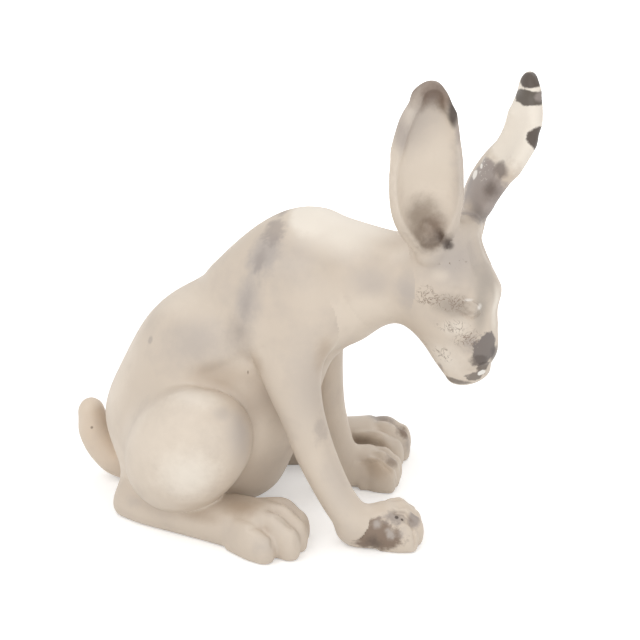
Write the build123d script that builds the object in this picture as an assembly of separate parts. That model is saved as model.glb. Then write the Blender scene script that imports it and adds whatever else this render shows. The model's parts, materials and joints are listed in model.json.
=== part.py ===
from build123d import *
from math import cos, radians, sin
import os

os.makedirs("parts", exist_ok=True)

# A seated hare, hand-built in white clay from separately formed pieces that are luted together
# face to face. Lengths are in millimetres. The hare faces +X, +Y is its left side and +Z is up.
# It rests on its paws and feet at Z = 0, and the origin is under the middle of the whole figure.

# Clay
wall = 7.0
vent_diameter = 3.0
vent_reach = 59.0

# An overrun carries a cut or an air space clear past the face that it opens
overrun = 30.0

# Torso: two hollow bowls joined rim to rim at the waist, from the seat to the withers and chest
torso_length = 178.0
torso_height = 196.0
torso_width = 106.0
torso_rump_x = -128.0
seat_dome = 13.5

# Neck: a short tube from the shoulders to the back of the skull
neck_length = 76.0
neck_width = 56.0
neck_start_x = 6.0

# Head: a long wedge that hangs from the skull to the muzzle, turned a little to the hare's right
head_x = 91.0
head_y = -2.0
muzzle_z = 97.0
head_height = 106.0
head_depth = 58.0
head_width = 48.0
head_turn = -13.0
muzzle_dome = 8.0
crown_dome = 8.0

# Ears: two long leaves on the sides of the skull, scooped into bowls that open outwards
ear_base_z = 184.0
right_ear_length = 103.0
left_ear_length = 98.0
ear_width = 44.0
ear_thickness = 23.0
ear_wall = 4.0
ear_root_dome = 7.0
ear_bowl_dome = 5.0
ear_tip_dome = 12.0
right_ear_turn = 46.0
left_ear_turn = 39.0
ear_root_reach = 21.0
ear_tip_spread = 12.0
right_ear_lean = 2.0
left_ear_lean = 30.0

# Eyes: two almond-shaped pellets pressed onto the sides of the face, under the brow
eye_length = 11.0
eye_height = 7.5
eye_bulge = 2.4
eye_reach = 16.4
eye_forward = 21.5
eye_z = 153.5
eye_droop = 28.0
eye_turn = 25.0

# Forelegs, from the wrist up to the shoulder blade
foreleg_length = 176.0
foreleg_depth = 50.0
foreleg_width = 30.0
foreleg_stance = 38.0
right_elbow_x = -20.0
left_elbow_x = -22.0
shoulder_dome = 12.0
wrist_dome = 10.0

# Forepaws
forepaw_length = 43.0
forepaw_width = 34.0
forepaw_height = 25.5
forepaw_toe_length = 24.0
forepaw_heel_dome = 14.0
forepaw_sole_press = 2.5
right_forepaw_x = 44.0
right_forepaw_y = -36.5
right_forepaw_turn = 20.0
left_forepaw_x = 10.0
left_forepaw_y = 39.0
left_forepaw_turn = 10.0

# Haunches: the round thighs, each a low dome on the side of the torso
haunch_length = 90.0
haunch_depth = 69.0
haunch_tilt = 50.0
haunch_z = 55.0
haunch_stance = 40.0
haunch_girth = 14.0
haunch_dome = 27.0
right_haunch_x = -54.0
left_haunch_x = -47.0

# Hind feet, from the heel to the toes
hind_foot_length = 123.0
hind_foot_width = 45.0
hind_foot_height = 28.0
hind_toe_length = 34.0
hind_heel_dome = 11.0
hind_sole_press = 5.0
right_heel_x = -98.0
right_heel_y = -37.0
right_foot_splay = 12.0
left_heel_x = -69.0
left_heel_y = 50.0
left_foot_splay = 19.0

# Toes on each paw and foot
toe_count = 4

# Tail: a flat upright scut behind the rump
tail_height = 54.0
tail_thickness = 22.0
tail_width = 24.0
tail_root_x = -115.0
tail_reach = 28.0
tail_root_dome = 5.5
tail_tip_dome = 11.0

LEFT = Vector(0, 1, 0)
UP = Vector(0, 0, 1)
FORWARD = Vector(1, 0, 0)
dome_angles = (24, 44, 60, 72, 81, 87)
gap_share = 0.5
mesh_step = 0.1


def section(centre, along, across, half_width, half_depth):
    """One closed oval ring of clay, square to the direction along."""
    plane = Plane(origin=centre, x_dir=across, z_dir=along)
    return Wire.make_ellipse(half_width, half_depth, plane)


def ring(rear, front, half_width):
    """A ring that spans from a rear point to a front point, and half_width to each side."""
    along = (front - rear).cross(LEFT).normalized()
    return ((rear + front) / 2, along, half_width, (front - rear).length / 2)


def spine_rings(centres, sizes):
    """Rings square to a spine, whose direction at each centre comes from its neighbours."""
    rings = []
    for n, (centre, size) in enumerate(zip(centres, sizes)):
        before = centres[max(n - 1, 0)]
        after = centres[min(n + 1, len(centres) - 1)]
        rings.append((centre, (after - before).normalized(), *size))
    return rings


def smooth_step(before, start, end, after, share):
    """The value at a share of the way from start to end, on a smooth curve through all four."""
    pull = (end - before) * share
    bend = (before * 2 - start * 5 + end * 4 - after) * share**2
    twist = (start * 3 - before - end * 3 + after) * share**3
    return (start * 2 + pull + bend + twist) / 2


def beyond(pair):
    """The ring that carries on in a straight line from the second ring of a pair past the first."""
    return tuple(near * 2 - far for near, far in zip(*pair))


def close_rings(rings):
    """The same rings with smooth ones added, so that no gap is wide beside the ring's size."""
    if len(rings) == 1:
        return rings
    found = [rings[0]]
    run = [beyond(rings[:2])] + rings + [beyond(rings[:-3:-1])]
    for n in range(len(rings) - 1):
        four = [run[n], run[n + 1], run[n + 2], run[n + 3]]
        gap = (rings[n + 1][0] - rings[n][0]).length
        added = int(gap / (gap_share * (rings[n][2] + rings[n][3]) / 2))
        for step in range(1, added + 1):
            share = step / (added + 1)
            found.append(tuple(smooth_step(*values, share) for values in zip(*four)))
        found.append(rings[n + 1])
    return found


def form(rings, start_dome=0.0, end_dome=0.0, side=LEFT):
    """A solid lofted through rings, domed past each end that has a dome."""
    wires = []

    def add(ring_at, travel, share):
        centre, along, half_width, half_depth = ring_at
        along = along.normalized()
        across = (side - along * side.dot(along)).normalized()
        centre = centre + along * travel
        wires.append(section(centre, along, across, half_width * share, half_depth * share))

    if start_dome:
        for angle in reversed(dome_angles):
            add(rings[0], -start_dome * sin(radians(angle)), cos(radians(angle)))
    for ring_at in close_rings(rings):
        add(ring_at, 0, 1)
    if end_dome:
        for angle in dome_angles:
            add(rings[-1], end_dome * sin(radians(angle)), cos(radians(angle)))
    return Solid.make_loft(wires)


def inside(rings, start_run=0.0, end_run=0.0):
    """The rings of the air space within a wall, run straight on past either end."""
    taken_in = [(centre, along, width - wall, depth - wall) for centre, along, width, depth in rings]
    if start_run:
        centre, along, *size = taken_in[0]
        taken_in.insert(0, (centre - along * start_run, along, *size))
    if end_run:
        centre, along, *size = taken_in[-1]
        taken_in.append((centre + along * end_run, along, *size))
    return taken_in


def placed_rings(ring_shares, start, length, height, width):
    """Rings from rows of shares: the rear point, the front point and the half width."""
    rings = []
    for rear_x, rear_z, front_x, front_z, half_width in ring_shares:
        rear = start + Vector(length * rear_x, 0, height * rear_z)
        front = start + Vector(length * front_x, 0, height * front_z)
        rings.append(ring(rear, front, width * half_width))
    return rings


# Torso. Each ring is given by its back point, its front point and its half width. The two bowls
# meet on one of these rings, the waist.

torso_ring_shares = (
    (0.06, 0.075, 0.64, 0.085, 0.440),
    (0.00, 0.245, 0.735, 0.285, 0.500),
    (0.03, 0.380, 0.79, 0.430, 0.464),
    (0.105, 0.515, 0.83, 0.515, 0.418),
    (0.226, 0.660, 0.88, 0.567, 0.376),
    (0.394, 0.779, 0.913, 0.587, 0.346),
    (0.530, 0.900, 0.945, 0.602, 0.332),
    (0.672, 0.982, 0.973, 0.622, 0.309),
    (0.803, 0.995, 1.000, 0.643, 0.273),
)
waist_row = 5


def torso_rings():
    """The rings below the waist and the rings above it, drawn as one smooth run."""
    rows = placed_rings(torso_ring_shares, Vector(torso_rump_x, 0, 0),
                        torso_length, torso_height, torso_width)
    waist = len(close_rings(rows[:waist_row + 1])) - 1
    run = close_rings(rows)
    return run[:waist + 1], run[waist:]


# Neck, ringed like the torso. It starts on the last ring of the forequarters and its own
# rings carry it into the skull.

neck_ring_shares = (
    (0.33, 0.968, 0.63, 0.656, 0.48),
    (0.66, 0.945, 0.78, 0.686, 0.43),
    (0.95, 0.945, 1.00, 0.714, 0.375),
)


def neck_rings():
    below, above = torso_rings()
    start = Vector(neck_start_x, 0, 0)
    own_rings = placed_rings(neck_ring_shares, start, neck_length, torso_height, neck_width)
    return above[-1:] + own_rings


# Head, ringed from the muzzle up to the crown in its own frame, and then turned on the neck.

head_ring_shares = (
    (0.02, 0.06, 0.465, 0.14, 0.29),
    (-0.10, 0.13, 0.535, 0.24, 0.335),
    (-0.23, 0.22, 0.525, 0.34, 0.38),
    (-0.38, 0.31, 0.50, 0.46, 0.43),
    (-0.46, 0.43, 0.53, 0.595, 0.47),
    (-0.48, 0.575, 0.41, 0.71, 0.475),
    (-0.45, 0.735, 0.305, 0.83, 0.42),
    (-0.32, 0.86, 0.265, 0.93, 0.32),
)
head_place = Pos(head_x, head_y, 0) * Rot(0, 0, head_turn)


def head_rings():
    start = Vector(0, 0, muzzle_z)
    return placed_rings(head_ring_shares, start, head_depth, head_height, head_width)


# Ears: a leaf along a bent centre line, with the bowl scooped out of its opening side. Each row
# is the height, half width, half thickness, spread and how full the bowl is there. The leans are
# how far forwards each row stands.

ear_ring_shares = (
    (0.000, 0.18, 0.26, 0.00, 0.00),
    (0.080, 0.30, 0.275, 0.12, 0.60),
    (0.155, 0.40, 0.30, 0.24, 0.82),
    (0.250, 0.465, 0.36, 0.38, 0.95),
    (0.370, 0.482, 0.405, 0.54, 1.00),
    (0.515, 0.470, 0.320, 0.72, 1.00),
    (0.640, 0.419, 0.350, 0.86, 1.00),
    (0.757, 0.350, 0.345, 0.96, 1.00),
    (0.855, 0.228, 0.260, 1.00, 1.00),
)
right_ear_lean_shares = (-1.00, -1.30, -1.20, -1.10, -1.05, -0.65, -0.05, 0.70, 0.95)
left_ear_lean_shares = (0.08, 0.10, 0.10, 0.21, 0.45, 0.76, 0.955, 0.98, 0.99)


def ear(hand, length, opening_turn, leans):
    """The leaf for one side: hand is 1 on the left and -1 on the right."""
    turn = radians(hand * opening_turn)
    opening = Vector(cos(turn), sin(turn), 0)
    across = UP.cross(opening)
    leaf_centres, leaf_sizes, bowl_centres, bowl_sizes = [], [], [], []
    for (rise, half_width, half_thickness, spread, full), lean in zip(ear_ring_shares, leans):
        out = ear_root_reach + ear_tip_spread * spread
        centre = Vector(lean, hand * out, ear_base_z + length * rise)
        width = ear_width * half_width
        depth = ear_thickness * half_thickness
        leaf_centres.append(centre)
        leaf_sizes.append((width, depth))
        bowl_centres.append(centre + opening * depth)
        bowl_sizes.append(((width - ear_wall / 2) * full, (depth * 2 - ear_wall) * full))
    leaf_rings = spine_rings(leaf_centres, leaf_sizes)
    bowl_rings = spine_rings(bowl_centres, bowl_sizes)[1:]
    leaf = form(leaf_rings, start_dome=ear_root_dome, end_dome=ear_tip_dome, side=across)
    bowl = form(bowl_rings, start_dome=ear_bowl_dome, end_dome=ear_tip_dome - ear_wall, side=across)
    return head_place * (leaf - bowl)


# Forelegs: from the wrist up to the shoulder blade. Each row has the rear point, the front
# point, the sideways place and the half width.

right_foreleg_ring_shares = (
    (1.12, 0.062, 1.50, 0.120, 1.02, 0.39),
    (0.90, 0.150, 1.27, 0.205, 1.01, 0.38),
    (0.62, 0.290, 1.06, 0.345, 1.01, 0.37),
    (0.42, 0.430, 0.92, 0.480, 1.00, 0.42),
    (0.20, 0.550, 0.88, 0.590, 0.95, 0.47),
    (0.02, 0.670, 0.94, 0.695, 0.86, 0.50),
    (0.02, 0.805, 0.97, 0.830, 0.73, 0.46),
    (0.12, 0.890, 0.92, 0.915, 0.62, 0.43),
)
left_foreleg_ring_shares = (
    (0.50, 0.057, 0.96, 0.090, 0.92, 0.38),
    (0.44, 0.155, 0.88, 0.185, 0.92, 0.37),
    (0.34, 0.295, 0.78, 0.310, 0.91, 0.37),
    (0.26, 0.430, 0.75, 0.455, 0.90, 0.40),
    (0.14, 0.550, 0.77, 0.580, 0.89, 0.45),
    (0.02, 0.670, 0.88, 0.695, 0.84, 0.50),
    (0.02, 0.805, 0.95, 0.830, 0.73, 0.46),
    (0.12, 0.890, 0.92, 0.915, 0.62, 0.43),
)


def foreleg(hand, elbow_x, ring_shares):
    rings = []
    for rear_x, rear_z, front_x, front_z, sideways, half_width in ring_shares:
        y = hand * foreleg_stance * sideways
        rear = Vector(elbow_x + foreleg_depth * rear_x, y, foreleg_length * rear_z)
        front = Vector(elbow_x + foreleg_depth * front_x, y, foreleg_length * front_z)
        rings.append(ring(rear, front, foreleg_width * half_width))
    return form(rings, start_dome=wrist_dome, end_dome=shoulder_dome)


# Feet: a low body with a row of toes, flat on the ground. A body row has the distance from the
# heel, the height of its top and the half width. The toes are listed from the outer one inwards.

forepaw_body_shares = (
    (0.14, 0.70, 0.36),
    (0.30, 0.92, 0.42),
    (0.48, 1.00, 0.45),
    (0.64, 0.90, 0.44),
)
hind_foot_body_shares = (
    (0.00, 0.70, 0.37),
    (0.14, 0.77, 0.43),
    (0.40, 0.85, 0.41),
    (0.62, 0.95, 0.41),
    (0.78, 0.98, 0.44),
)
toe_reach_shares = (0.91, 1.00, 0.99, 0.95)
toe_top_shares = (0.80, 0.95, 0.98, 0.92)
ball_dome_share = 0.25
toe_arch_share = 0.92
toe_nail_share = 0.78
toe_root_share = 0.72
toe_width_share = 0.29


def foot_ring(along, aside, top, half_width, press):
    """An upright ring across a foot. Its underside is pressed flat by the ground."""
    half_depth = (top + press) / 2
    return (Vector(along, aside, top - half_depth), FORWARD, half_width, half_depth)


def toe(tip, aside, length, width, top, press):
    """One rounded toe that ends at the distance tip from the heel, highest at its knuckle."""
    arch = top * toe_arch_share
    half_width = width / 2
    root = foot_ring(tip - length, aside * toe_root_share, arch, half_width, press)
    knuckle = foot_ring(tip - length / 2, aside, top, half_width, press)
    nail = foot_ring(tip - half_width, aside, top * toe_nail_share, half_width, press)
    return form([root, knuckle, nail], end_dome=half_width)


def foot(hand, length, width, height, toe_length, heel_dome, press, body_shares):
    """A foot that stands on the ground, with its heel at the origin and its toes towards +X."""
    rings = [foot_ring(length * along, 0, height * top, width * half, press)
             for along, top, half in body_shares]
    clay = form(rings, start_dome=heel_dome, end_dome=toe_length * ball_dome_share)
    toe_width = width * toe_width_share
    outer = (width - toe_width) / 2
    pitch = outer * 2 / (toe_count - 1)
    for n, (reach, top) in enumerate(zip(toe_reach_shares, toe_top_shares)):
        aside = hand * (outer - pitch * n)
        clay += toe(length * reach, aside, toe_length, toe_width, height * top, press)
    ground = Pos(length / 2, 0, -overrun / 2) * Box(length * 2, width * 2, overrun)
    return clay - ground


def forepaw(hand):
    return foot(hand, forepaw_length, forepaw_width, forepaw_height, forepaw_toe_length,
                forepaw_heel_dome, forepaw_sole_press, forepaw_body_shares)


def hind_foot(hand):
    return foot(hand, hind_foot_length, hind_foot_width, hind_foot_height, hind_toe_length,
                hind_heel_dome, hind_sole_press, hind_foot_body_shares)


def haunch(hand, x):
    """The round thigh of one side: a low dome that swells out of the torso."""
    tilt = radians(haunch_tilt)
    lengthwise = Vector(cos(tilt), 0, sin(tilt))
    outwards = Vector(0, hand, 0)
    inner = Vector(x, hand * haunch_stance, haunch_z)
    outer = inner + outwards * haunch_girth
    rings = [(centre, outwards, haunch_length / 2, haunch_depth / 2) for centre in (inner, outer)]
    return form(rings, end_dome=haunch_dome, side=lengthwise)


# Tail. Each row is the height, the reach behind the root, and the share of the full section.

tail_ring_shares = (
    (0.18, 0.12, 0.88),
    (0.25, 0.42, 1.00),
    (0.42, 0.74, 1.03),
    (0.62, 0.94, 0.97),
    (0.79, 1.00, 0.80),
)


def tail():
    centres, sizes = [], []
    for rise, reach, size in tail_ring_shares:
        centres.append(Vector(tail_root_x - tail_reach * reach, 0, tail_height * rise))
        sizes.append((tail_width / 2 * size, tail_thickness / 2 * size))
    rings = spine_rings(centres, sizes)
    return form(rings, start_dome=tail_root_dome, end_dome=tail_tip_dome)


def eye(hand):
    """The almond pellet of one side, drooping forwards along the cheek."""
    turn = radians(eye_turn)
    droop = radians(eye_droop)
    outwards = Vector(sin(turn), hand * cos(turn), 0)
    lengthwise = Vector(cos(turn) * cos(droop), -hand * sin(turn) * cos(droop), -sin(droop))
    centre = Vector(eye_forward, hand * eye_reach, eye_z)
    middle = (centre, lengthwise, eye_bulge, eye_height / 2)
    pellet = form([middle], start_dome=eye_length / 2, end_dome=eye_length / 2, side=outwards)
    return head_place * pellet


# The clay walls before anything is joined to them, and the air space behind each of them.
# The air runs on from one piece to the next, and one pinhole under the seat vents it all.

hind_rings, fore_rings = torso_rings()
hind_clay = form(hind_rings, start_dome=seat_dome)
fore_clay = form(fore_rings)
neck_clay = form(neck_rings())
head_clay = head_place * form(head_rings(), start_dome=muzzle_dome, end_dome=crown_dome)
torso_clay = hind_clay + fore_clay

hind_air = form(inside(hind_rings, end_run=wall), start_dome=seat_dome - wall)
fore_air = form(inside(fore_rings, start_run=wall, end_run=wall))
neck_air = form(inside(neck_rings(), start_run=wall))
head_air = head_place * form(inside(head_rings()[2:]), start_dome=wall)
vent = Pos(torso_rump_x + vent_reach, 0, 0) * Cylinder(vent_diameter / 2, overrun * 2)

pieces = {
    "hindquarters": hind_clay - hind_air - vent,
    "forequarters": fore_clay - fore_air,
    "neck": neck_clay - head_clay - neck_air,
    "head": head_clay - head_air - neck_air,
    "tail": tail() - hind_clay,
}

# The pieces that come in pairs. A smaller piece is cut by the larger one that it is pressed onto.
# The torso is cut away whole, and then the forequarters once more where the chest is seamed.


def leaning(lean, shares):
    return [lean * share for share in shares]


def standing(x, y, turn):
    """The place on the ground of a paw or foot whose toes are turned to the left."""
    return Pos(x, y, 0) * Rot(0, 0, turn)


ears = {
    "right": (-1, right_ear_length, right_ear_turn, leaning(right_ear_lean, right_ear_lean_shares)),
    "left": (1, left_ear_length, left_ear_turn, leaning(left_ear_lean, left_ear_lean_shares)),
}
limbs = {
    "right": (-1, right_elbow_x, right_foreleg_ring_shares, right_haunch_x,
              standing(right_forepaw_x, right_forepaw_y, right_forepaw_turn),
              standing(right_heel_x, right_heel_y, -right_foot_splay)),
    "left": (1, left_elbow_x, left_foreleg_ring_shares, left_haunch_x,
             standing(left_forepaw_x, left_forepaw_y, left_forepaw_turn),
             standing(left_heel_x, left_heel_y, left_foot_splay)),
}
for name, (hand, length, turn, leans) in ears.items():
    pieces[f"ear_{name}"] = ear(hand, length, turn, leans) - head_clay
    pieces[f"eye_{name}"] = eye(hand) - head_clay
for name, (hand, elbow_x, leg_shares, haunch_x, paw_place, foot_place) in limbs.items():
    paw_clay = paw_place * forepaw(hand)
    foot_clay = foot_place * hind_foot(hand)
    leg_clay = foreleg(hand, elbow_x, leg_shares) - torso_clay - paw_clay - pieces["forequarters"]
    pieces[f"foreleg_{name}"] = leg_clay
    pieces[f"forepaw_{name}"] = paw_clay
    pieces[f"hind_foot_{name}"] = foot_clay - hind_clay
    pieces[f"haunch_{name}"] = haunch(hand, haunch_x) - torso_clay - foot_clay - leg_clay

# The origin moves to the ground under the middle of the whole figure.

corners = [corner for piece in pieces.values() for corner in piece.tessellate(mesh_step)[0]]
across_x = [corner.X for corner in corners]
across_y = [corner.Y for corner in corners]
middle_x = (min(across_x) + max(across_x)) / 2
middle_y = (min(across_y) + max(across_y)) / 2
print("moved by", -middle_x, -middle_y, "length", max(across_x) - min(across_x))
for name, piece in pieces.items():
    print(name, "is whole:", piece.is_valid and len(piece.solids()) == 1, "volume:", round(piece.volume))
    export_step(Pos(-middle_x, -middle_y, 0) * piece, f"parts/{name}.step")
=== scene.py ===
import json
import math
import bpy
import numpy as np
import openvdb
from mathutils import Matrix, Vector

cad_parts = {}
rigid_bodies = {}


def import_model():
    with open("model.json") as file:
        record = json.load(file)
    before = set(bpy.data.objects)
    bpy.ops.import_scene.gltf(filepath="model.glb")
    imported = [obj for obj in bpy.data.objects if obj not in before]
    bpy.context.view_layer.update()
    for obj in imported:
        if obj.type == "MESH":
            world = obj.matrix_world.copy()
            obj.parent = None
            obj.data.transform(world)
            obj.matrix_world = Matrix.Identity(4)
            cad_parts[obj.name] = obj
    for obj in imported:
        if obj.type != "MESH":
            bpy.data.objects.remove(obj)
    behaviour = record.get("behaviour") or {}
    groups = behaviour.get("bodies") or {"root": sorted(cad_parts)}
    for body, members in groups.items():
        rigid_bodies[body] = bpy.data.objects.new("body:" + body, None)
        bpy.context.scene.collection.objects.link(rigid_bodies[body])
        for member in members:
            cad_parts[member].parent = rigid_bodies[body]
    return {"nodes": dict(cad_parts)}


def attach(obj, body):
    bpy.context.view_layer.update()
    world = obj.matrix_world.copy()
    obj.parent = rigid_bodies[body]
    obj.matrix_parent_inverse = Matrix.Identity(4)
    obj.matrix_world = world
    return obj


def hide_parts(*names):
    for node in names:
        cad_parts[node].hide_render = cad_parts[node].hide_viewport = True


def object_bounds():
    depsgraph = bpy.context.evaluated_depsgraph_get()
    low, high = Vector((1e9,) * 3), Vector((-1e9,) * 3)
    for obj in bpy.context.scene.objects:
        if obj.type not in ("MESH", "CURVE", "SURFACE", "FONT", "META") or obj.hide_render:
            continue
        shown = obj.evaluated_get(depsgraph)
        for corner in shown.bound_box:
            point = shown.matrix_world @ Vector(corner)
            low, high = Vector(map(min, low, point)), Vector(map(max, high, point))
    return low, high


# A seated rabbit of burnished clay, smoke-marked in the kiln. The scene is in metres, and the
# places and sizes of marks and tool strokes are in millimetres. The rabbit faces +X, +Y is its left
# side, +Z is up, and it stands at Z = 0 with the origin under its middle.
for thing in list(bpy.data.objects):
    bpy.data.objects.remove(thing)
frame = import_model()
frame_low, frame_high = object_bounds()


# The studio. The figure stands on a white sheet that runs out of sight, under a large soft lamp
# above and to the left of the camera, with a weaker fill on the right and a rim lamp behind.

camera_turn = 18
camera_rise = 21
camera_reach = 0.960
camera_lens = 90
camera_aim = Vector((0.0195, -0.0125, 0.126))


def look(thing, turn, rise, reach):
    """Stand a lamp or the camera round the figure, so many degrees round and up, facing it."""
    turn, rise = math.radians(turn), math.radians(rise)
    level = math.cos(rise)
    back = Vector((math.sin(turn) * level, -math.cos(turn) * level, math.sin(rise)))
    thing.location = camera_aim + back * reach
    thing.rotation_euler = back.to_track_quat("Z", "Y").to_euler()
    bpy.context.scene.collection.objects.link(thing)


camera = bpy.data.objects.new("camera", bpy.data.cameras.new("camera"))
camera.data.lens = camera_lens
look(camera, camera_turn, camera_rise, camera_reach)
bpy.context.scene.camera = camera

for name, turn, rise, reach, size, power in (
    ("key lamp", -32, 52, 1.5, 1.1, 6.6),
    ("fill lamp", 62, 22, 1.6, 1.2, 3.6),
    ("low lamp", 12, 5, 1.6, 1.0, 3.0),
    ("back lamp", 165, 48, 1.6, 1.0, 4.0),
):
    lamp = bpy.data.objects.new(name, bpy.data.lights.new(name, "AREA"))
    lamp.data.size = size
    lamp.data.energy = power
    look(lamp, turn, rise, reach)


def added(tree, kind, settings=None, **values):
    """A new shader node. Each value, a number or a link, goes into the input that has its name,
    or into the input of that number where the name is i0, i1 and so on."""
    node = tree.nodes.new("ShaderNode" + kind)
    for name, setting in (settings or {}).items():
        setattr(node, name, setting)
    for name, value in values.items():
        place = int(name[1:]) if name[0] == "i" and name[1:].isdigit() else name.replace("_", " ")
        if isinstance(value, bpy.types.NodeSocket):
            tree.links.new(value, node.inputs[place])
        else:
            node.inputs[place].default_value = value
    return node


def counted(tree, operation, *values):
    """The result of one sum on numbers or links."""
    inputs = {f"i{n}": value for n, value in enumerate(values)}
    return added(tree, "Math", {"operation": operation}, **inputs).outputs[0]


def ranged(tree, value, start, end, low=0.0, high=1.0, way="LINEAR"):
    """Low where the value is at start, high where it is at end, and even or smooth between."""
    return added(tree, "MapRange", {"interpolation_type": way}, Value=value,
                 From_Min=start, From_Max=end, To_Min=low, To_Max=high).outputs[0]


def distance_from_middle(tree, place):
    """How far a place is from the zero of its coordinates."""
    return added(tree, "VectorMath", {"operation": "LENGTH"}, i0=place).outputs["Value"]


def mixed(tree, share, below, above):
    """One colour laid over another, from none of it at a share of 0 to all of it at 1."""
    # the colours of a Mix node are its inputs 6 and 7, and its output 2
    return added(tree, "Mix", {"data_type": "RGBA"}, i0=share, i6=below, i7=above).outputs[2]


def seen_directly(tree):
    """1 for what the camera sees, also in a reflection, and 0 for light that falls on the clay."""
    path = added(tree, "LightPath").outputs
    mirrored = counted(tree, "MAXIMUM", path["Is Glossy Ray"], path["Is Transmission Ray"])
    return counted(tree, "MAXIMUM", path["Is Camera Ray"], mirrored)


air_strength = 0.68
world = bpy.data.worlds.new("studio air")
bpy.context.scene.world = world
world.use_nodes = True
tree = world.node_tree
air = tree.nodes["Background"]
air.inputs["Color"].default_value = (1, 1, 1, 1)
tree.links.new(ranged(tree, seen_directly(tree), 0.0, 1.0, air_strength), air.inputs["Strength"])
bpy.context.scene.view_settings.view_transform = "Standard"

sheet_half = 3.0
sheet_near = 0.22
sheet_far = 0.75
sheet_glow = 0.30
paper_white = (0.9, 0.9, 0.9, 1)
paper_fibre = (0.94, 0.94, 0.93, 1)
sheet_mesh = bpy.data.meshes.new("white sheet")
corners = [(x * sheet_half, y * sheet_half, 0) for x, y in ((-1, -1), (1, -1), (1, 1), (-1, 1))]
sheet_mesh.from_pydata(corners, [], [(0, 1, 2, 3)])
sheet = bpy.data.objects.new("white_sheet", sheet_mesh)
bpy.context.scene.collection.objects.link(sheet)
paper = bpy.data.materials.new("white paper")
paper.use_nodes = True
tree = paper.node_tree
tree.nodes.remove(tree.nodes["Principled BSDF"])
place = added(tree, "TexCoord").outputs["Object"]
away = distance_from_middle(tree, place)
glow = ranged(tree, away, sheet_near, sheet_far, sheet_glow, 1.0, "SMOOTHSTEP")
grain = added(tree, "TexNoise", Vector=place, Scale=400.0).outputs[0]
lit_paper = added(tree, "BsdfDiffuse", Color=mixed(tree, grain, paper_white, paper_fibre))
bright = added(tree, "Emission", Strength=counted(tree, "MULTIPLY", glow, seen_directly(tree)))
both = added(tree, "AddShader", i0=lit_paper.outputs[0], i1=bright.outputs[0])
tree.links.new(both.outputs[0], tree.nodes["Material Output"].inputs["Surface"])
sheet_mesh.materials.append(paper)


# The figure in soft clay. Every piece is formed by itself and luted onto its neighbour with slip.
# The joint is filled and rubbed over, widely at the shoulder and neck, and hardly at all round the
# thighs. Each form is held as its distance from the points of a fine lattice.

pitch = 0.0009
band = 26
margin = 8
lattice_low = np.floor(np.array(frame_low) / pitch).astype(int) - margin
lattice_size = tuple(np.ceil(np.array(frame_high) / pitch).astype(int) + margin - lattice_low)
lattice_place = tuple(int(n) for n in lattice_low)
lattice_step = openvdb.createLinearTransform(voxelSize=pitch)


def distance_to(points, **faces):
    """The distance to a closed surface, negative inside it, on the whole lattice."""
    grid = openvdb.FloatGrid.createLevelSetFromPolygons(
        points, transform=lattice_step, halfWidth=band, **faces)
    field = np.empty(lattice_size, np.float32)
    grid.copyToArray(field, ijk=lattice_place)
    return field


def formed(name):
    """One piece of the frame as a distance field."""
    mesh = frame["nodes"][name].data
    mesh.calc_loop_triangles()
    points = np.empty(len(mesh.vertices) * 3, np.float32)
    mesh.vertices.foreach_get("co", points)
    corners = np.empty(len(mesh.loop_triangles) * 3, np.int32)
    mesh.loop_triangles.foreach_get("vertices", corners)
    return distance_to(points.reshape(-1, 3), triangles=corners.reshape(-1, 3).astype(np.uint32))


def joined_groups(count, pairs):
    """The number of the group that each of some points belongs to, where pairs join them."""
    group = np.arange(count)
    while True:
        lowest = np.minimum(group[pairs[:, 0]], group[pairs[:, 1]])
        found = group.copy()
        np.minimum.at(found, pairs[:, 0], lowest)
        np.minimum.at(found, pairs[:, 1], lowest)
        found = found[found]
        if (found == group).all():
            return group
        group = found


def outer_surface(field, level):
    """The points and faces of a form at one distance, without the walls of the air space in it."""
    grid = openvdb.FloatGrid(band * pitch)
    grid.transform = lattice_step
    grid.copyFromArray(np.clip(field, -band * pitch, band * pitch), ijk=lattice_place)
    grid.gridClass = openvdb.GridClass.LEVEL_SET
    points, _, quads = grid.convertToPolygons(isovalue=level, adaptivity=0)
    links = quads[:, [0, 1, 1, 2, 2, 3]].reshape(-1, 2).astype(np.int64)
    group = joined_groups(len(points), links)
    names, counts = np.unique(group, return_counts=True)
    outside = quads[group[quads[:, 0]] == names[counts.argmax()]]
    used, faces = np.unique(outside, return_inverse=True)
    return points[used], faces.reshape(-1, 4)[:, ::-1]


def filled(field, reach):
    """The form made solid, with the cracks filled that are narrower than twice the reach."""
    points, faces = outer_surface(field, reach)
    return distance_to(points, quads=faces.astype(np.uint32)) + reach


def eased(value, start, end):
    """0 before start, 1 after end, and a smooth rise between."""
    share = np.clip((value - start) / (end - start), 0, 1)
    return share * share * (3 - 2 * share)


def sponged(field, wipes):
    """The field after a wet sponge: each place is averaged a little with its neighbours."""
    for wipe in range(wipes):
        for axis in range(3):
            field = field * 0.5 + (np.roll(field, 1, axis) + np.roll(field, -1, axis)) * 0.25
    return field


forms = {name: formed(name) for name in frame["nodes"]}
body_fill = 0.017
body_wipes = 14
wiped_near = 0.005
wiped_far = 0.016
clay = np.minimum(np.minimum(forms["hindquarters"], forms["forequarters"]), forms["neck"])
clay = filled(clay, body_fill)
softened = sponged(clay, body_wipes)
for one, other in (("hindquarters", "forequarters"), ("forequarters", "neck")):
    near = 1 - eased(np.maximum(forms[one], forms[other]), wiped_near, wiped_far)
    clay = clay + (softened - clay) * near


def luted(one, other, softness):
    """Two forms joined, with their joint filled to a soft hollow of about the given softness."""
    share = np.clip((other - one) / softness * 0.5 + 0.5, 0, 1)
    return other + (one - other) * share - softness * share * (1 - share)


line_width = 0.0022


def creased(one, other, softness, line_depth):
    """Two forms luted like that, with a line of that depth left along the joint by the tool."""
    line = np.exp(-(((one - other) / line_width) ** 2))
    return luted(one, other, softness) + line_depth * line


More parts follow.
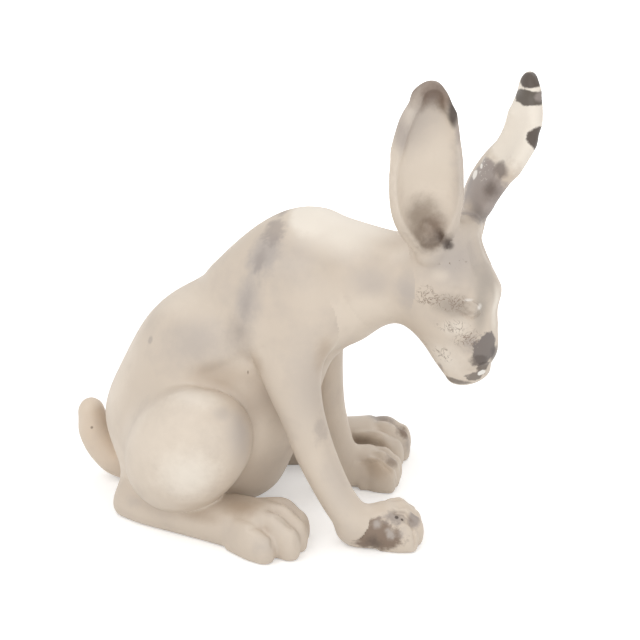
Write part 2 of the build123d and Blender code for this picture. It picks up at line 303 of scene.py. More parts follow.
both_sides = ("right", "left")
neck_softness = 0.014
tail_softness = 0.004
eye_softness, eye_line = 0.0012, 0.0006
ear_softness, ear_line = 0.010, 0.0005
wrist_softness = 0.009
shoulder_softness, shoulder_height = 0.024, 0.135
elbow_softness, elbow_line, elbow_height = 0.002, 0.0010, 0.095
ankle_softness, ankle_line = 0.005, 0.0010
rump_softness, rump_place = 0.016, -0.080
thigh_softness, thigh_line, thigh_place = 0.002, 0.0014, -0.030
last_wipes = 2

length = ((np.arange(lattice_size[0]) + lattice_low[0]) * pitch)[:, None, None].astype(np.float32)
height = ((np.arange(lattice_size[2]) + lattice_low[2]) * pitch)[None, None, :].astype(np.float32)
elbow = 1 - eased(height, elbow_height, shoulder_height)
leg_softness = shoulder_softness + (elbow_softness - shoulder_softness) * elbow
front = eased(length, rump_place, thigh_place)
haunch_softness = rump_softness + (thigh_softness - rump_softness) * front

clay = luted(clay, forms["head"], neck_softness)
clay = luted(clay, forms["tail"], tail_softness)
for side in both_sides:
    clay = creased(clay, forms[f"eye_{side}"], eye_softness, eye_line)
    clay = creased(clay, forms[f"ear_{side}"], ear_softness, ear_line)
    leg = luted(forms[f"foreleg_{side}"], forms[f"forepaw_{side}"], wrist_softness)
    clay = creased(clay, leg, leg_softness, elbow_line * elbow)
    thigh = creased(forms[f"haunch_{side}"], forms[f"hind_foot_{side}"], ankle_softness, ankle_line)
    clay = creased(clay, thigh, haunch_softness, thigh_line * front)
clay = sponged(clay, last_wipes)


def facing(points, faces):
    """The direction that the skin faces at each point, from the four-sided faces round it."""
    first, second, third, fourth = (points[faces[:, corner]] for corner in range(4))
    across = np.cross(third - first, fourth - second)
    total = np.zeros_like(points)
    for corner in range(4):
        np.add.at(total, faces[:, corner], across)
    return total / np.maximum(np.linalg.norm(total, axis=1), 1e-12)[:, None]


def sides_of(faces):
    """The four sides of each face, each as the numbers of its two points."""
    return np.stack([faces, np.roll(faces, -1, axis=1)], axis=-1).reshape(-1, 2)


def whole_patches(number, faces):
    """Each face's piece number, with stray patches given to the piece that lies round them."""
    sides = np.sort(sides_of(faces), axis=1)
    order = np.lexsort((sides[:, 1], sides[:, 0]))
    meet = (sides[order[:-1]] == sides[order[1:]]).all(1)
    pairs = np.stack([order[:-1][meet], order[1:][meet]], axis=1) // 4
    group = joined_groups(len(faces), pairs[number[pairs[:, 0]] == number[pairs[:, 1]]])
    sizes = np.bincount(group, minlength=len(faces))[group]
    largest = np.zeros(number.max() + 1, int)
    np.maximum.at(largest, number, sizes)
    number = np.where(sizes == largest[number], number, -1)
    while (number < 0).any():
        for one, other in (pairs.T, pairs.T[::-1]):
            taken = (number[one] < 0) & (number[other] >= 0)
            number[one[taken]] = number[other[taken]]
    return number


skin_points, skin_faces = outer_surface(clay, 0)
skin_normals = facing(skin_points, skin_faces)
centres = skin_points[skin_faces].mean(1)
cells = np.rint(centres / pitch).astype(int) - lattice_low
inner_cells = tuple(np.clip(cells, 0, np.array(lattice_size) - 1).T)
nearest = np.argmin([form[inner_cells] for form in forms.values()], axis=0)
owner = np.array(list(forms))[whole_patches(nearest, skin_faces)]


# Torso. Two hollow bowls of white clay, joined rim to rim at the waist, with a hollow left by the
# thumb in the flank. A mauve smoke band comes down over the shoulders, and stops short at the pale
# slip of the hump and neck.


def paint(red, green, blue):
    """A colour as light, from the 0 to 255 that it shows on a screen."""
    return tuple(((value / 255 + 0.055) / 1.055) ** 2.4 for value in (red, green, blue)) + (1,)


# The warm brown below paints only shade. The paler colours also serve as painted light, and the
# greyer and darker ones as painted shade, in some marks beside the clay's own colouring.
cream_and_light = paint(236, 227, 214)
shell_and_light = paint(222, 209, 193)
greige = paint(205, 191, 175)
ash_and_shade = paint(178, 168, 160)
mauve = paint(150, 139, 133)
painted_shade_brown = paint(172, 152, 131)
umber_and_shade = paint(122, 102, 86)


def metres(millimetres):
    """The same lengths in metres."""
    return np.array(millimetres, float) / 1000


def colour_mark(at, size, colour, strength=1.0, edge=0.6, torn=0.15, kind="cloud"):
    """A mark of some place, size and kind: a cloud with a soft or torn edge, crackle, or specks."""
    return {"at": at, "size": size, "colour": colour, "strength": strength,
            "edge": edge, "torn": torn, "kind": kind}


slip_grain = {
    "clouds": {"Scale": 17.0, "Detail": 3.0, "Roughness": 0.5},
    "patches": {"Scale": 48.0, "Detail": 4.0, "Roughness": 0.55},
    "tears": {"Scale": 150.0, "Detail": 5.0, "Roughness": 0.65},
    "pits": {"Scale": 520.0, "Detail": 4.0, "Roughness": 0.6},
    "cracks": {"Scale": 210.0, "Detail": 3.0, "Roughness": 0.6, "Distortion": 1.2},
}
# Each runs from one depth of the grain to another, and gives the first and last strength there.
warm_clouds = (0.42, 0.68, 0.0, 0.35)
grey_patches = (0.48, 0.72, 0.0, 0.28)
crack_line = (0.008, 0.034, 1.0, 0.0)
speck_edge = (0.60, 0.66, 0.0, 1.0)
burnish = (0.3, 0.7, 0.42, 0.56)
tear_reach = 4
crack_depth = -0.6
pit_depth = 0.35
relief_strength = 0.25
relief_height = 0.0003


def fired(name, body, marks):
    """The ceramic of one piece. Over its burnished body colour lie cloudy warm and grey patches,
    and then its marks in order: smoke, and some painted light and shade."""
    material = bpy.data.materials.new(name)
    material.use_nodes = True
    tree = material.node_tree
    place = added(tree, "TexCoord").outputs["Object"]
    grain = {kind: added(tree, "TexNoise", Vector=place, **settings).outputs[0]
             for kind, settings in slip_grain.items()}
    off_line = counted(tree, "ABSOLUTE", counted(tree, "SUBTRACT", grain["cracks"], 0.5))
    pattern = {
        "crackle": ranged(tree, off_line, *crack_line),
        "specks": ranged(tree, grain["pits"], *speck_edge),
    }
    colour = mixed(tree, ranged(tree, grain["clouds"], *warm_clouds), body, shell_and_light)
    colour = mixed(tree, ranged(tree, grain["patches"], *grey_patches), colour, ash_and_shade)
    etched = 0.0
    for mark in marks:
        spot = added(tree, "Mapping", {"vector_type": "TEXTURE"}, Vector=place,
                     Location=tuple(metres(mark["at"])), Scale=tuple(metres(mark["size"])))
        away = distance_from_middle(tree, spot.outputs[0])
        torn = tear_reach * mark["torn"]
        tear = counted(tree, "MULTIPLY_ADD", grain["tears"], torn, -torn / 2)
        share = ranged(tree, counted(tree, "ADD", away, tear),
                       1.0 - mark["edge"], 1.0, mark["strength"], 0.0, "SMOOTHSTEP")
        if mark["kind"] in pattern:
            share = counted(tree, "MULTIPLY", share, pattern[mark["kind"]])
        if mark["kind"] == "crackle":
            etched = counted(tree, "MAXIMUM", share, etched)
        colour = mixed(tree, share, colour, mark["colour"])
    pits = counted(tree, "MULTIPLY", grain["pits"], pit_depth)
    relief = counted(tree, "MULTIPLY_ADD", etched, crack_depth, pits)
    bump = added(tree, "Bump", Strength=relief_strength, Distance=relief_height, Height=relief)
    surface = tree.nodes["Principled BSDF"].inputs
    tree.links.new(colour, surface["Base Color"])
    tree.links.new(ranged(tree, grain["patches"], *burnish), surface["Roughness"])
    tree.links.new(bump.outputs[0], surface["Normal"])
    return material


def halved(points, normals, faces):
    """A finer skin: each face is split into four at the middles of its sides."""
    sides = np.sort(sides_of(faces), axis=1)
    keys = sides[:, 0] * len(points) + sides[:, 1]
    _, first, place = np.unique(keys, return_index=True, return_inverse=True)
    pairs = sides[first]
    middle = place.reshape(-1, 4) + len(points)
    centre = np.arange(len(faces)) + len(points) + len(pairs)
    points = np.vstack([points, points[pairs].mean(1), points[faces].mean(1)])
    normals = np.vstack([normals, normals[pairs].mean(1), normals[faces].mean(1)])
    normals /= np.linalg.norm(normals, axis=1)[:, None]
    quarters = [np.stack([faces[:, n], middle[:, n], centre, middle[:, n - 1]], axis=1)
                for n in range(4)]
    return points, normals, np.concatenate(quarters)


def tooled(points, normals, faces, strokes):
    """The skin pressed in by the strokes of a tool, each a path, its width and its depth. A stroke
    of negative depth raises it, and nothing goes below the table that the figure stands on."""
    moved = points.copy()
    for path, width, depth in strokes:
        path = metres(path)
        gap = np.linalg.norm(points - path[0], axis=1)
        for start, end in zip(path[:-1], path[1:]):
            along = end - start
            share = np.clip((points - start) @ along / (along @ along), 0, 1)
            gap = np.minimum(gap, np.linalg.norm(points - start - share[:, None] * along, axis=1))
        moved -= normals * (metres(depth) * np.exp(-((gap / metres(width)) ** 2)))[:, None]
    moved[:, 2] = np.maximum(moved[:, 2], 0)
    normals = normals + facing(moved, faces) - facing(points, faces)
    return moved, normals / np.linalg.norm(normals, axis=1)[:, None]


lid_depth = 0.0015


def piece_of_skin(name, strokes, halvings):
    """One piece's share of the skin, closed by a lid that lies hidden in each joint."""
    used, faces = np.unique(skin_faces[owner == name], return_inverse=True)
    faces = faces.reshape(-1, 4)
    points, normals = skin_points[used], skin_normals[used]
    for halving in range(halvings):
        points, normals, faces = halved(points, normals, faces)
    points, normals = tooled(points, normals, faces, strokes)
    edges = sides_of(faces)
    keys = edges.min(1) * len(points) + edges.max(1)
    _, first, counts = np.unique(keys, return_index=True, return_counts=True)
    rim = edges[first[counts == 1]]
    group = joined_groups(len(points), rim)
    lids = []
    for loop in np.unique(group[rim[:, 0]]):
        own = rim[group[rim[:, 0]] == loop]
        ring = np.unique(own[:, 0])
        lower = dict(zip(ring.tolist(), range(len(points), len(points) + len(ring))))
        points = np.vstack([points, points[ring] - normals[ring] * lid_depth])
        normals = np.vstack([normals, normals[ring]])
        for start, end in own.tolist():
            lids.append((end, start, lower[start], lower[end]))
            lids.append((lower[end], lower[start], len(points)))
        points = np.vstack([points, points[-len(ring):].mean(0)])
        normals = np.vstack([normals, normals[-1:]])
    mesh = bpy.data.meshes.new(name)
    mesh.from_pydata(points.tolist(), [], faces.tolist() + lids)
    mesh.polygons.foreach_set("use_smooth", np.ones(len(mesh.polygons), bool))
    mesh.normals_split_custom_set_from_vertices(normals.tolist())
    piece = bpy.data.objects.new(name + "_skin", mesh)
    bpy.context.scene.collection.objects.link(piece)
    return piece


def finished(name, material, strokes=(), halvings=0):
    """Bring one fired piece into the scene in the place of its plain solid. Each halving makes its
    skin twice as fine."""
    piece = piece_of_skin(name, strokes, halvings)
    piece.data.materials.append(material)
    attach(piece, "root")
    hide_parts(name)


rabbit_middle = -12.5
far_back = 3
far_down = 5


def on_both_sides_of_body(marks, strength):
    """The marks, and under them the same on the rabbit's left, fainter and a little lower."""
    far_marks = []
    for mark in marks:
        x, y, z = mark["at"]
        far_place = (x - far_back, 2 * rabbit_middle - y, z - far_down)
        far_marks.append({**mark, "at": far_place, "strength": mark["strength"] * strength})
    return far_marks + marks


shoulder_smoke = on_both_sides_of_body([
    # the smoke band, from the flank up over the shoulder blade to the withers
    colour_mark((14, -40, 168), (26, 26, 24), ash_and_shade, 0.50, 0.9),
    colour_mark((-16, -48, 126), (16, 20, 20), mauve, 0.45, 0.9, 0.1),
    colour_mark((-11, -46, 146), (15, 22, 24), ash_and_shade, 0.90, 0.8, 0.12),
    colour_mark((-5, -37, 170), (16, 20, 20), ash_and_shade, 0.95, 0.6, 0.15),
    colour_mark((-12, -47, 142), (7, 12, 14), mauve, 0.40, 0.8, 0.2),
    colour_mark((-15, -47, 128), (8, 9, 10), paint(160, 148, 137), 0.70, 0.8, 0.15),
    colour_mark((-7, -40, 168), (7, 10, 12), mauve, 0.50, 0.7, 0.3),
    colour_mark((-2, -28, 184), (11, 14, 11), mauve, 0.65, 0.6, 0.35),
    colour_mark((-4, -15, 193), (6, 9, 4), mauve, 0.70, 0.7, 0.2),
], strength=0.7) + [
    # the pale slip of the hump, which ends the band
    colour_mark((34, -16, 187), (40, 34, 26), cream_and_light, 0.90, 0.7, 0.03),
    colour_mark((18, -17, 195), (18, 28, 16), cream_and_light, 0.80, 0.4, 0.08),
]
torso_smoke_and_shade = on_both_sides_of_body([
    # painted shade in the hollow of the flank and low on the belly, and grey on the ribs
    colour_mark((-29, -57, 101), (28, 18, 13), painted_shade_brown, 0.55, 0.95, 0.05),
    colour_mark((-44, -50, 118), (36, 20, 24), ash_and_shade, 0.65, 0.95),
    colour_mark((-7, -52, 88), (14, 14, 30), painted_shade_brown, 0.35, 0.9),
    # the warmer slip of the back, rump, belly and chest
    colour_mark((-70, -30, 136), (44, 30, 16), shell_and_light, 0.70, 0.9),
    colour_mark((-108, -36, 84), (24, 30, 50), shell_and_light, 0.80, 0.9),
    colour_mark((-96, -40, 34), (30, 34, 26), shell_and_light, 0.80, 0.9),
    colour_mark((-4, -44, 60), (30, 30, 24), shell_and_light, 0.80, 0.9),
    colour_mark((46, -40, 142), (26, 26, 20), shell_and_light, 0.90, 0.9),
    # two small stains
    colour_mark((-79, -41, 112), (2.4, 5, 3.4), mauve, 0.45, 0.7, 0.4),
    colour_mark((-12, -53, 104), (0.7, 4, 1.8), umber_and_shade, 0.80, 0.6, 0.3),
], strength=0.8) + shoulder_smoke
# These strokes cross the joints, so the haunches and forelegs take them too.
body_strokes = [
    # the thumb's hollow in the flank, and the two lines above and in front of it
    ([(-24, -56, 112), (-32, -57, 98)], 13.0, 1.8),
    ([(-38, -58, 100), (-26, -56, 106), (-14, -52, 112)], 5.0, 1.6),
    ([(-1, -57, 122), (-9, -52, 119), (-11, -53, 110)], 2.5, 0.8),
]
finished("hindquarters", fired("hindquarters clay", greige, torso_smoke_and_shade), body_strokes)
finished("forequarters", fired("forequarters clay", greige, torso_smoke_and_shade), body_strokes)


# Haunches. Each thigh is a round dome of clay pressed on beside the rump, with its back rubbed into
# the body and a crisp edge left towards the belly. Faint grey painted shade lies along its front,
# and brown painted shade under it.

thigh_slip_and_shade = on_both_sides_of_body([
    # slip over the dome, and paler on its middle and along its top
    colour_mark((-45, -80, 62), (48, 30, 46), shell_and_light, 0.85, 0.8),
    colour_mark((-34, -92, 50), (30, 14, 24), cream_and_light, 0.75, 0.9),
    colour_mark((-38, -74, 94), (30, 14, 9), cream_and_light, 0.45, 0.9),
    # grey painted shade along the front edge
    colour_mark((-11, -72, 72), (12, 14, 26), ash_and_shade, 0.70, 0.95, 0.1),
    colour_mark((-19, -76, 86), (9, 9, 6), ash_and_shade, 0.45, 0.9, 0.2),
    # brown painted shade under the dome
    colour_mark((-26, -88, 26), (28, 12, 6), painted_shade_brown, 0.50, 0.9),
], strength=0.9)
for side in both_sides:
    finished(f"haunch_{side}", fired(f"haunch {side} clay", greige, thigh_slip_and_shade), body_strokes)


# Hind feet. Long flat slabs of clay with four soft toes each, luted in under the thighs. The left
# one is hollowed on its inner side, and is smoked dark along the top of its toes.

foot_smoke_and_shade = [
    # the right foot: brown painted shade on its top by the thigh and in the line under the thigh,
    # and two grey smudges
    colour_mark((-10, -74, 26), (17, 14, 8), painted_shade_brown, 0.80, 0.9),
    colour_mark((-38, -80, 18), (26, 10, 6), painted_shade_brown, 0.55, 0.9),
    colour_mark((-82, -68, 15), (12, 8, 5), ash_and_shade, 0.35, 0.9, 0.3),
    colour_mark((10, -90, 12), (12, 9, 9), ash_and_shade, 0.35, 0.9, 0.3),
    # the left foot: smoke along the top of its toes, and painted shade in the hollow of its inner
    # side
    colour_mark((36, 74, 26), (20, 10, 5), mauve, 0.75, 0.8, 0.35),
    colour_mark((50, 71, 20), (12, 9, 6), umber_and_shade, 0.90, 0.7, 0.4),
    colour_mark((56, 66, 12), (6, 8, 10), mauve, 0.60, 0.9, 0.3),
    colour_mark((28, 49, 17), (15, 9, 7), umber_and_shade, 0.75, 0.9),
]
foot_strokes = [
    # the hollow in the left foot, and the clefts of the right one
    ([(22, 50, 16), (38, 52, 16)], 6.0, 4.5),
    ([(1, -88, 21), (7, -82, 18), (15, -88, 12)], 1.8, 0.7),
    ([(14, -78, 26), (21, -78, 21), (28, -82, 11)], 1.8, 0.7),
]
for side in both_sides:
    foot_clay = fired(f"hind foot {side} clay", greige, foot_smoke_and_shade)
    finished(f"hind_foot_{side}", foot_clay, foot_strokes, halvings=1)


# Tail. A small leaf of clay, luted upright against the rump and wiped smooth. It fired a little
# browner than the body.

tail_brown = paint(215, 197, 177)
tail_smoke = [
    colour_mark((-131, -18, 66), (9, 14, 10), shell_and_light, 0.60, 0.9),
    colour_mark((-131, -23, 38), (1.2, 3, 1.2), umber_and_shade, 0.80, 0.6, 0.3),
]
finished("tail", fired("tail clay", tail_brown, tail_smoke))


# Forelegs. Two rolls of clay, narrowing to the wrist. Each is flattened into the shoulder at its
# top, and stands off the chest with a crisp line below the elbow.

leg_smoke_and_shade = [
    # painted shade on the left leg, behind the right one
    colour_mark((38, 10, 60), (24, 20, 60), painted_shade_brown, 0.35, 0.9),
    # the right leg: grey clouds, a mauve smudge, and brown painted shade high on it and behind it
    colour_mark((26, -56, 100), (18, 14, 44), ash_and_shade, 0.45, 0.9, 0.05),
    colour_mark((48, -60, 45), (16, 14, 30), ash_and_shade, 0.35, 0.9, 0.05),
    colour_mark((35, -50, 118), (9, 12, 18), painted_shade_brown, 0.55, 0.9),
    colour_mark((35, -57, 75), (6, 10, 14), mauve, 0.40, 0.9, 0.4),
    colour_mark((-6, -56, 112), (8, 14, 12), painted_shade_brown, 0.45, 0.9),
] + shoulder_smoke
for side in both_sides:
    finished(f"foreleg_{side}", fired(f"foreleg {side} clay", greige, leg_smoke_and_shade), body_strokes)


# Forepaws. Pads of clay luted to the wrists, each pinched into toes with a clear cleft. The right
# one's outer toe is smoked nearly black with paler spots, and has two small pits on its knuckle.

soot_and_shade = paint(72, 60, 52)
paw_smoke = [
    # the right paw's dark toe, and the smoke on the toes beside it
    colour_mark((69, -57, 11), (19, 12, 13), umber_and_shade, 0.92, 0.45, 0.35),
    colour_mark((68, -57, 8), (8, 8, 7), soot_and_shade, 0.55, 0.9, 0.4),
    colour_mark((78, -50, 21), (10, 8, 5), mauve, 0.80, 0.7, 0.4),
    colour_mark((88, -42, 18), (5, 6, 9), mauve, 0.85, 0.7, 0.3),
    # its paler spots
    colour_mark((69, -55, 18), (4, 6, 3), ash_and_shade, 0.85, 0.9, 0.4),
    colour_mark((77, -57, 14), (4, 5, 5), ash_and_shade, 0.85, 0.8, 0.5),
    colour_mark((84, -53, 14), (4, 5, 6), ash_and_shade, 0.60, 0.9, 0.4),
    # the two pits on its knuckle
    colour_mark((79, -49, 21), (1.6, 2, 1.2), soot_and_shade, 0.95, 0.5, 0.4),
    colour_mark((82, -48, 19), (1.2, 2, 1.8), soot_and_shade, 0.95, 0.5, 0.4),
    # the left paw
    colour_mark((50, 18, 18), (14, 9, 12), paint(186, 166, 144), 0.80, 0.9),
    colour_mark((54, 28, 19), (9, 9, 6), umber_and_shade, 0.65, 0.9, 0.3),
    colour_mark((56, 22, 12), (1.2, 2, 1.6), soot_and_shade, 0.8, 0.6, 0.3),
]
paw_strokes = [
    # two clefts of the right paw, its full outer toe, and a cleft of the left one
    ([(62, -57, 13), (63, -54, 18), (69, -53, 21), (74, -51, 22), (78, -46, 23)], 1.8, 0.7),
    ([(78, -46, 23), (83, -45, 22), (87, -45, 17), (91, -51, 12), (92, -51, 5)], 1.7, 1.8),
    ([(70, -58, 8), (78, -58, 10)], 8.0, -1.4),
    ([(32, 18, 19), (41, 18, 21), (50, 18, 22), (56, 19, 16), (60, 21, 7)], 1.5, 1.1),
]
for side in both_sides:
    paw_clay = fired(f"forepaw {side} clay", greige, paw_smoke)
    finished(f"forepaw_{side}", paw_clay, paw_strokes, halvings=1)


# Neck. A short thick tube of clay, luted between the shoulders and the skull and burnished smooth.
# It carries the pale slip of the hump up to the cheek.

neck_smoke = [
    colour_mark((56, -34, 146), (26, 26, 16), shell_and_light, 0.80, 0.9),
] + shoulder_smoke + [
    colour_mark((58, -36, 163), (22, 14, 13), ash_and_shade, 0.50, 0.9, 0.05),
    colour_mark((80, -36, 160), (12, 14, 16), ash_and_shade, 0.75, 0.9, 0.15),
    colour_mark((72, -34, 182), (16, 12, 10), cream_and_light, 0.35, 0.9),
]
finished("neck", fired("neck clay", greige, neck_smoke))


# Head. A long hollow wedge of clay with a bridge down the front and a hollow round each eye, turned
# a little on the neck. The slip has crackled on the cheek, and the nose and lips are smoked dark
# with a chipped edge. The strokes at the ears' roots run on over the crown, so they stand here.

head_turn = math.radians(13)
head_middle = np.array((98.5, -14.5))
head_side = np.array((math.sin(head_turn), math.cos(head_turn)))


def on_both_sides_of_head(strokes):
    """The strokes, and the same again on the other side of the turned head."""
    turned = []
    for path, width, depth in strokes:
        path = np.array(path, float)
        off_middle = (path[:, :2] - head_middle) @ head_side
        path[:, :2] -= 2 * off_middle[:, None] * head_side
        turned.append((path.tolist(), width, depth))
    return strokes + turned


chalk_and_highlight = paint(244, 239, 232)
upper_lid = [(111, -37, 156), (113.5, -36.5, 157.8), (116, -36, 157.6), (119, -35, 155.7),
             (120.8, -33, 152), (120.8, -31, 149)]
lower_lid = [(110.5, -36.5, 150.5), (114, -35, 147.4), (117, -33.5, 146), (119.6, -32, 147.5)]
face_strokes = on_both_sides_of_head([
    # the eye, and the hollows over it and at the temple
    (upper_lid, 0.9, -1.4),
    (lower_lid, 0.8, 1.1),
    ([(108, -36.5, 162), (115, -35, 161)], 3.6, 1.5),
    ([(114, -24, 188), (117, -26.5, 176)], 4.5, 0.9),
    # the ridges of the brow and bridge, and the cheekbone
    ([(107.5, -17, 200), (110, -25, 192), (112.4, -27, 184), (115, -30, 172)], 2.2, -0.5),
    ([(124.5, -29, 160), (124.5, -27, 148), (125.5, -27, 138)], 2.5, -0.45),
    ([(112, -36, 142), (104, -36.5, 147)], 5.0, -0.5),
]) + [
    # the mouth
    ([(127, -20, 112.5), (123, -28, 114.5), (117, -31, 113)], 1.6, 0.9),
]
ear_strokes = [
    # the right ear: the pit and lip of its bowl, its rims and its tip
    ([(90, -37, 200), (97, -35.5, 193.5), (101, -32, 188)], 3.4, 2.2),
    ([(82, -48, 198), (86, -44, 190), (91, -41, 185), (97, -37, 183.5), (104, -31, 184.5)],
     1.4, -0.7),
    ([(85.5, -53, 275), (83.5, -52, 271), (81.5, -54, 266), (79.5, -56, 258), (77, -56, 246)],
     6.0, -1.8),
    ([(103, -44.5, 271), (104.3, -43.6, 266)], 5.0, -1.6),
    ([(100.5, -46, 279)], 4.0, 0.8),
    # the left ear: its front and back edges, and its root
    ([(141, 4, 269), (142.4, -1, 261), (142.6, -3.5, 255)], 5.5, -2.6),
    ([(139.6, -8, 243), (136, -9, 236.6), (132, -10, 228)], 6.0, -2.6),
    ([(129, 5, 256), (126.5, 6, 250), (122, 6, 240), (117, 4, 231)], 6.0, -3.6),
    ([(119, -9, 201), (121, -12, 192)], 6.0, -1.5),
]
crown_smoke_and_shade = [
    # the grey of the crown and brow
    colour_mark((104, -30, 178), (24, 22, 26), ash_and_shade, 0.85, 0.9, 0.1),
    colour_mark((122, -26, 168), (12, 16, 22), paint(168, 158, 148), 0.80, 0.9, 0.1),
    # painted shade in the pit of the right bowl
    colour_mark((99.5, -33, 190.5), (5.5, 6, 3.6), soot_and_shade, 0.85, 0.8, 0.1),
    colour_mark((101.5, -31, 187.5), (4, 6, 3), soot_and_shade, 0.85, 0.7, 0.1),
    # the dark root of the left ear
    colour_mark((113, -4, 213), (21, 20, 20), paint(160, 149, 143), 0.95, 0.3, 0.15),
    colour_mark((120, -10, 215), (8, 10, 10), paint(112, 100, 93), 0.90, 0.9, 0.2),
    colour_mark((114, -8, 200), (9, 9, 9), paint(138, 130, 124), 0.75, 0.9, 0.2),
    colour_mark((104, 7, 214), (5, 9, 9), mauve, 0.70, 0.9, 0.2),
    # slip between the ears
    colour_mark((106, -2, 200), (11, 12, 9), greige, 0.80, 0.9),
]
head_smoke_light_and_shade = crown_smoke_and_shade + [
    # slip on the jaw, painted light on the temple, painted shade round the eye and down the front
    # plane, and painted light on the bridge and cheekbone
    colour_mark((100, -30, 118), (20, 14, 18), cream_and_light, 0.60, 0.9),
    colour_mark((98, -36, 171), (8, 8, 6), shell_and_light, 0.50, 0.9),
    colour_mark((106, -37, 154), (18, 9, 10), paint(158, 146, 134), 0.85, 0.9, 0.1),
    colour_mark((121, -31, 152), (6, 9, 24), paint(165, 155, 144), 0.80, 0.9, 0.05),
    colour_mark((128, -22, 150), (4, 5, 20), cream_and_light, 0.70, 0.8),
    colour_mark((108, -35, 140), (12, 9, 8), cream_and_light, 0.50, 0.9),
    # the nose and lips, their chipped edge, and the stains of the jaw
    colour_mark((116, -34, 131), (8, 8, 8), mauve, 0.50, 0.8, 0.4),
    colour_mark((124, -28, 127), (9, 8, 10.5), paint(116, 107, 102), 0.97, 0.2, 0.3),
    colour_mark((121, -30, 120), (7, 8, 5), paint(92, 82, 76), 0.85, 0.5, 0.3),
    colour_mark((128, -22, 121), (4, 8, 9), paint(88, 79, 75), 0.80, 0.7, 0.3),
    colour_mark((123, -26, 115), (6, 6, 4), soot_and_shade, 0.80, 0.4, 0.45),
    colour_mark((119, -28, 109), (7, 6, 3.2), paint(110, 100, 92), 0.85, 0.3, 0.5),
    colour_mark((122, -26, 110.5), (2.4, 4, 1.7), chalk_and_highlight, 0.9, 0.3, 0.4),
    colour_mark((107, -30, 104.5), (12, 8, 2.6), paint(110, 100, 92), 0.80, 0.5, 0.35),
    colour_mark((98, -26, 111), (3, 4, 6), mauve, 0.60, 0.7, 0.3),
    # painted shade under the upper lid, and painted highlights on the rims of the lids
    colour_mark((115, -37, 149), (6, 5, 2), umber_and_shade, 0.35, 0.9),
    colour_mark((116, -37, 158), (5, 4, 1.1), chalk_and_highlight, 0.60, 0.7),
    colour_mark((121, -34, 153.5), (1.6, 4, 3), chalk_and_highlight, 0.60, 0.7),
    # crackled slip on the cheek, and specks on the temple
    colour_mark((91, -36, 158), (7, 9, 8), umber_and_shade, 0.75, 0.5, 0.3, "crackle"),
    colour_mark((103, -37, 156), (14, 9, 6), umber_and_shade, 0.75, 0.5, 0.3, "crackle"),
    colour_mark((106, -36, 141), (12, 9, 5), umber_and_shade, 0.65, 0.5, 0.3, "crackle"),
    colour_mark((114, -34, 134), (10, 9, 7), umber_and_shade, 0.75, 0.5, 0.3, "crackle"),
    colour_mark((100, -33, 122), (8, 9, 6), umber_and_shade, 0.75, 0.5, 0.3, "crackle"),
    colour_mark((104, -34, 178), (12, 9, 4), umber_and_shade, 0.80, 0.5, 0.3, "specks"),
]
head_strokes = face_strokes + ear_strokes
finished("head", fired("head clay", greige, head_smoke_light_and_shade), head_strokes, halvings=1)


# Eyes. Almond pellets of the same clay, pressed flush into the hollows of the face under a raised
# upper lid, and burnished over with it.

for side in both_sides:
    eye_clay = fired(f"eye {side} clay", greige, head_smoke_light_and_shade)
    finished(f"eye_{side}", eye_clay, head_strokes, halvings=1)


# Ears. Two long leaves of clay, hollowed with the thumb, pinched thin at the rim and luted onto the
# crown. The right one is brown with smoke at its tip and has painted shade down in its bowl, and
# the left one is banded at the tip and dark below.

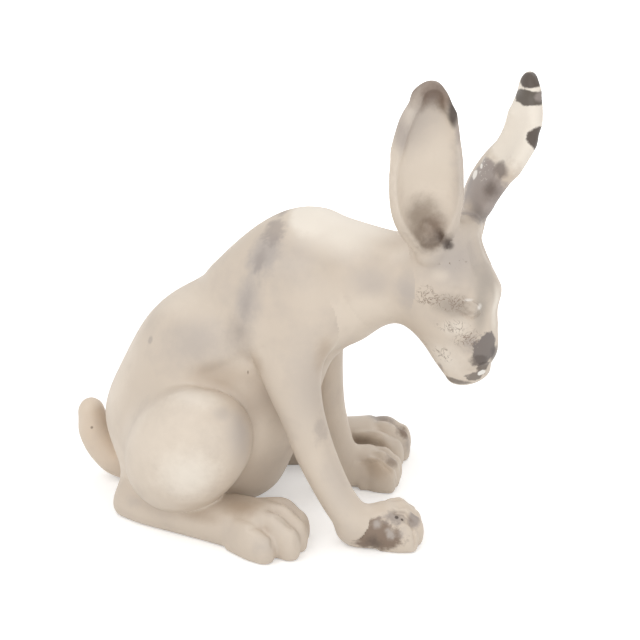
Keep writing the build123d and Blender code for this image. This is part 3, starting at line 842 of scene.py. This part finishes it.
ear_slip = {
    "right": colour_mark((94, -46, 240), (30, 30, 54), shell_and_light, 0.80, 0.5),
    "left": colour_mark((134, 0, 254), (34, 30, 36), cream_and_light, 0.85, 0.4),
}
ear_smoke_and_shade = {
    "right": [
        # the upper bowl and rim
        colour_mark((90, -50, 262), (26, 16, 34), ash_and_shade, 0.80, 0.95, 0.05),
        colour_mark((108, -41, 226), (10, 14, 42), ash_and_shade, 0.75, 0.9),
        # the tip and its front edge
        colour_mark((93, -48, 278), (19, 15, 15), paint(118, 100, 88), 0.93, 0.8),
        colour_mark((100, -45, 272), (7, 10, 10), umber_and_shade, 0.85, 0.9, 0.1),
        colour_mark((105, -43, 267), (5, 10, 13), soot_and_shade, 0.97, 0.7, 0.1),
        colour_mark((108, -42, 254), (4, 10, 12), mauve, 0.80, 0.9, 0.1),
        # the back edge
        colour_mark((80, -56, 256), (7, 12, 16), mauve, 0.65, 0.9),
        # painted shade at the foot of the bowl
        colour_mark((88, -39, 205), (17, 16, 18), paint(140, 124, 108), 0.92, 0.9),
        colour_mark((94, -36, 198), (11, 12, 12), umber_and_shade, 0.80, 0.9),
        colour_mark((88, -42, 196), (9, 9, 9), paint(135, 119, 104), 0.80, 0.9),
        colour_mark((93, -40, 190), (10, 10, 7), paint(112, 96, 82), 0.85, 0.9),
        colour_mark((98, -34, 193), (8, 9, 7), paint(84, 68, 56), 0.92, 0.9),
        colour_mark((101, -31, 188), (6, 8, 4.5), soot_and_shade, 0.85, 0.9),
    ],
    "left": [
        # the smoke above the root
        colour_mark((125, -8, 227), (8, 10, 6), paint(128, 116, 109), 0.90, 0.6, 0.2),
        colour_mark((113, -3, 228), (8, 10, 5), paint(160, 149, 143), 0.90, 0.5, 0.2),
        # the tip, and the band and spot below it
        colour_mark((136, 5, 276), (9, 12, 4.6), soot_and_shade, 0.97, 0.25, 0.15),
        colour_mark((137, 3, 267), (14, 14, 4.6), paint(84, 75, 66), 0.97, 0.2, 0.15),
        colour_mark((143, 3, 268), (4, 14, 4), mauve, 0.80, 0.6, 0.2),
        colour_mark((144, -5, 246), (7, 9, 7), soot_and_shade, 0.97, 0.2, 0.2),
        # chips in the smoke above the root
        colour_mark((107, 6, 219), (3, 6, 3), chalk_and_highlight, 0.95, 0.3, 0.3),
        colour_mark((111, 4, 225), (1.6, 4, 1.4), chalk_and_highlight, 0.9, 0.3, 0.3),
        colour_mark((114, -2, 226), (9, 9, 9), chalk_and_highlight, 0.9, 0.5, 0.3, "specks"),
    ],
}
for side in both_sides:
    marks = [ear_slip[side]] + crown_smoke_and_shade + ear_smoke_and_shade[side]
    ear_clay = fired(f"ear {side} clay", greige, marks)
    finished(f"ear_{side}", ear_clay, head_strokes, halvings=1)
